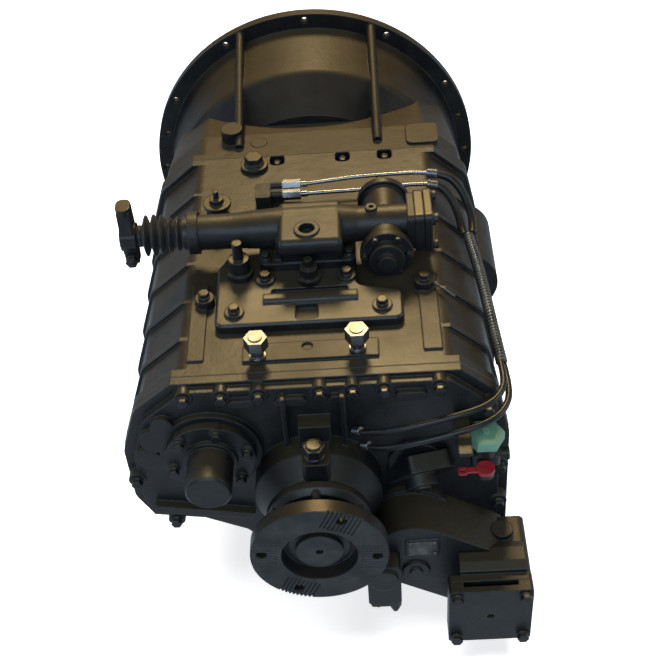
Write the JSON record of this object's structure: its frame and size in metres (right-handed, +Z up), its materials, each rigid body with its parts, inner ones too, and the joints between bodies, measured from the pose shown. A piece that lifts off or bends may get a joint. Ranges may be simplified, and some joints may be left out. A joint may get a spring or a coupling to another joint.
{
  "type": "heavy manual transmission",
  "caption": "Heavy longitudinal manual gearbox: clutch housing, main case with geartrain, planetary range group, shift turret, serrated output flange and side power take-off.",
  "frame": {"origin": "centre of the clutch housing mounting face, on the axis of the input and main shafts", "axes": "+Y forward along the shafts to the engine, +Z up, +X to the right as seen from behind; the output flange faces -Y"},
  "size_m": [0.576, 0.91, 0.563],
  "materials": {
    "casting_black": "satin black painted casting, slightly rough",
    "machined_steel": "ground and machined steel",
    "gear_steel": "hardened gear steel with a thin oil film",
    "flange_steel": "forged flange, black on the sides and worn on the serrated face",
    "bolt_black": "phosphated bolt heads, brushed over with the housing paint",
    "zinc_plated": "pale gold zinc plating",
    "bright_line": "bright drawn tube and fittings",
    "black_rubber": "matt black rubber",
    "black_plastic": "ribbed black plastic",
    "green_plastic": "pale green moulded plastic",
    "red_plastic": "dark red moulded plastic"
  },
  "bodies": {
    "gearbox": {"air_hoses": "black_rubber", "air_lines": "bright_line", "bell_housing": "casting_black", "breather": "black_plastic", "corrugated_conduit": "black_plastic", "detent_plugs": "zinc_plated", "dust_cap": "red_plastic", "fasteners": "bolt_black", "filler_plug": "zinc_plated", "guide_tube": "machined_steel", "hex_unions": "zinc_plated", "inclined_cover": "casting_black", "main_case": "casting_black", "output_bearing_cover": "casting_black", "pto_box": "casting_black", "pto_cover_plate": "casting_black", "pto_housing": "casting_black", "pto_shift_cylinder": "casting_black", "range_cylinder": "casting_black", "range_valve": "casting_black", "rear_housing": "casting_black", "regulator": "casting_black", "regulator_cap": "green_plastic", "ring_gear": "gear_steel", "shaft_bearings": "gear_steel", "shift_turret": "casting_black", "speed_sensor": "black_plastic", "top_cover": "casting_black", "turret_end_cover": "casting_black"},
    "countershaft_body": {"countershaft": "machined_steel", "pto_drive_gear": "gear_steel"},
    "input_body": {"input_shaft": "machined_steel"},
    "third_body": {"third_gear": "gear_steel"},
    "second_body": {"second_gear": "gear_steel"},
    "first_body": {"first_gear": "gear_steel"},
    "reverse_gear_body": {"reverse_gear": "gear_steel"},
    "idler_body": {"reverse_idler": "gear_steel"},
    "pto_output_body": {"pto_output_shaft": "gear_steel"},
    "output_body": {"planet_carrier": "gear_steel", "output_flange": "flange_steel", "flange_nut": "flange_steel"},
    "main_shaft_body": {"main_shaft": "machined_steel"},
    "planet_body_1": {"planet_gear_1": "gear_steel"},
    "planet_body_2": {"planet_gear_2": "gear_steel"},
    "planet_body_3": {"planet_gear_3": "gear_steel"},
    "select_body": {"shift_boot": "black_rubber"},
    "shift_body": {"shift_shaft": "machined_steel", "shift_finger": "machined_steel", "shift_lever": "casting_black"},
    "rail_3_4_body": {"rail_fork_3_4": "machined_steel"},
    "sleeve_3_4_body": {"sleeve_3_4": "machined_steel"},
    "rail_1_2_body": {"rail_fork_1_2": "machined_steel"},
    "sleeve_1_2_body": {"sleeve_1_2": "machined_steel"},
    "rail_reverse_body": {"rail_fork_reverse": "machined_steel"},
    "sleeve_reverse_body": {"sleeve_reverse": "machined_steel"},
    "range_body": {"range_piston": "machined_steel", "range_fork": "machined_steel", "range_sleeve": "machined_steel"},
    "release_fork_body": {"release_fork": "casting_black"},
    "release_bearing_body": {"release_bearing": "gear_steel"}
  },
  "joints": [
    {"name": "countershaft_spin", "type": "hinge", "parent": "gearbox", "child": "countershaft_body", "pos_m": [0.12297, -0.38, -0.08934], "axis": [0, 1, 0], "continuous": true},
    {"name": "input_spin", "type": "hinge", "parent": "gearbox", "child": "input_body", "pos_m": [0, -0.14, 0], "axis": [0, 1, 0], "continuous": true},
    {"name": "third_gear_spin", "type": "hinge", "parent": "gearbox", "child": "third_body", "pos_m": [0, -0.309, 0], "axis": [0, 1, 0], "continuous": true},
    {"name": "second_gear_spin", "type": "hinge", "parent": "gearbox", "child": "second_body", "pos_m": [0, -0.356, 0], "axis": [0, 1, 0], "continuous": true},
    {"name": "first_gear_spin", "type": "hinge", "parent": "gearbox", "child": "first_body", "pos_m": [0, -0.45, 0], "axis": [0, 1, 0], "continuous": true},
    {"name": "reverse_gear_spin", "type": "hinge", "parent": "gearbox", "child": "reverse_gear_body", "pos_m": [0, -0.562, 0], "axis": [0, 1, 0], "continuous": true},
    {"name": "reverse_idler_spin", "type": "hinge", "parent": "gearbox", "child": "idler_body", "pos_m": [0.05736, -0.562, -0.12771], "axis": [0, 1, 0], "continuous": true},
    {"name": "pto_output_spin", "type": "hinge", "parent": "gearbox", "child": "pto_output_body", "pos_m": [0.20442, -0.798, -0.14016], "axis": [0, 1, 0], "continuous": true},
    {"name": "output_spin", "type": "hinge", "parent": "gearbox", "child": "output_body", "pos_m": [0, -0.82, 0], "axis": [0, 1, 0], "continuous": true},
    {"name": "main_shaft_spin", "type": "hinge", "parent": "gearbox", "child": "main_shaft_body", "pos_m": [0, -0.5, 0], "axis": [0, 1, 0], "continuous": true},
    {"name": "planet_1_spin", "type": "hinge", "parent": "output_body", "child": "planet_body_1", "pos_m": [0, -0.719, 0.0675], "axis": [0, 1, 0], "continuous": true},
    {"name": "planet_2_spin", "type": "hinge", "parent": "output_body", "child": "planet_body_2", "pos_m": [-0.05846, -0.719, -0.03375], "axis": [0, 1, 0], "continuous": true},
    {"name": "planet_3_spin", "type": "hinge", "parent": "output_body", "child": "planet_body_3", "pos_m": [0.05846, -0.719, -0.03375], "axis": [0, 1, 0], "continuous": true},
    {"name": "select_slide", "type": "slide", "parent": "gearbox", "child": "select_body", "axis": [1, 0, 0], "range_m": [-0.016, 0.016], "deforming": ["shift_boot"]},
    {"name": "shift_turn", "type": "hinge", "parent": "select_body", "child": "shift_body", "pos_m": [-0.05, -0.515, 0.234], "axis": [1, 0, 0], "range_deg": [-9.7, 9.7]},
    {"name": "rail_3_4_slide", "type": "slide", "parent": "gearbox", "child": "rail_3_4_body", "axis": [0, 1, 0], "range_m": [-0.0121, 0.0121]},
    {"name": "sleeve_3_4_slide", "type": "slide", "parent": "main_shaft_body", "child": "sleeve_3_4_body", "axis": [0, 1, 0], "range_m": [-0.0121, 0.0121]},
    {"name": "rail_1_2_slide", "type": "slide", "parent": "gearbox", "child": "rail_1_2_body", "axis": [0, 1, 0], "range_m": [-0.012, 0.012]},
    {"name": "sleeve_1_2_slide", "type": "slide", "parent": "main_shaft_body", "child": "sleeve_1_2_body", "axis": [0, 1, 0], "range_m": [-0.012, 0.012]},
    {"name": "rail_reverse_slide", "type": "slide", "parent": "gearbox", "child": "rail_reverse_body", "axis": [0, 1, 0], "range_m": [-0.012, 0]},
    {"name": "sleeve_reverse_slide", "type": "slide", "parent": "main_shaft_body", "child": "sleeve_reverse_body", "axis": [0, 1, 0], "range_m": [-0.012, 0]},
    {"name": "range_shift_slide", "type": "slide", "parent": "gearbox", "child": "range_body", "axis": [0, 1, 0], "range_m": [0, 0.02]},
    {"name": "release_fork_turn", "type": "hinge", "parent": "gearbox", "child": "release_fork_body", "pos_m": [-0.088, -0.096, -0.1], "axis": [0, 0, 1], "range_deg": [0, 8]},
    {"name": "release_bearing_slide", "type": "slide", "parent": "gearbox", "child": "release_bearing_body", "axis": [0, 1, 0], "range_m": [0, 0.0123]}
  ],
  "couplings": [
    {"joint": "input_spin", "follows": "countershaft_spin", "ratio": -1.5333},
    {"joint": "third_gear_spin", "follows": "countershaft_spin", "ratio": -1.1111},
    {"joint": "second_gear_spin", "follows": "countershaft_spin", "ratio": -0.65217},
    {"joint": "first_gear_spin", "follows": "countershaft_spin", "ratio": -0.40741},
    {"joint": "reverse_idler_spin", "follows": "countershaft_spin", "ratio": -0.9},
    {"joint": "reverse_gear_spin", "follows": "countershaft_spin", "ratio": 0.36},
    {"joint": "pto_output_spin", "follows": "countershaft_spin", "ratio": -1},
    {"joint": "main_shaft_spin", "follows": "output_spin", "ratio": 3.6},
    {"joint": "planet_1_spin", "follows": "output_spin", "ratio": -3.25},
    {"joint": "planet_2_spin", "follows": "output_spin", "ratio": -3.25},
    {"joint": "planet_3_spin", "follows": "output_spin", "ratio": -3.25},
    {"joint": "rail_3_4_slide", "follows": "shift_turn", "m_per_rad": 0.071},
    {"joint": "sleeve_3_4_slide", "follows": "shift_turn", "m_per_rad": 0.071},
    {"joint": "sleeve_1_2_slide", "follows": "rail_1_2_slide", "ratio": 1},
    {"joint": "sleeve_reverse_slide", "follows": "rail_reverse_slide", "ratio": 1},
    {"joint": "release_bearing_slide", "follows": "release_fork_turn", "m_per_rad": 0.088}
  ]
}
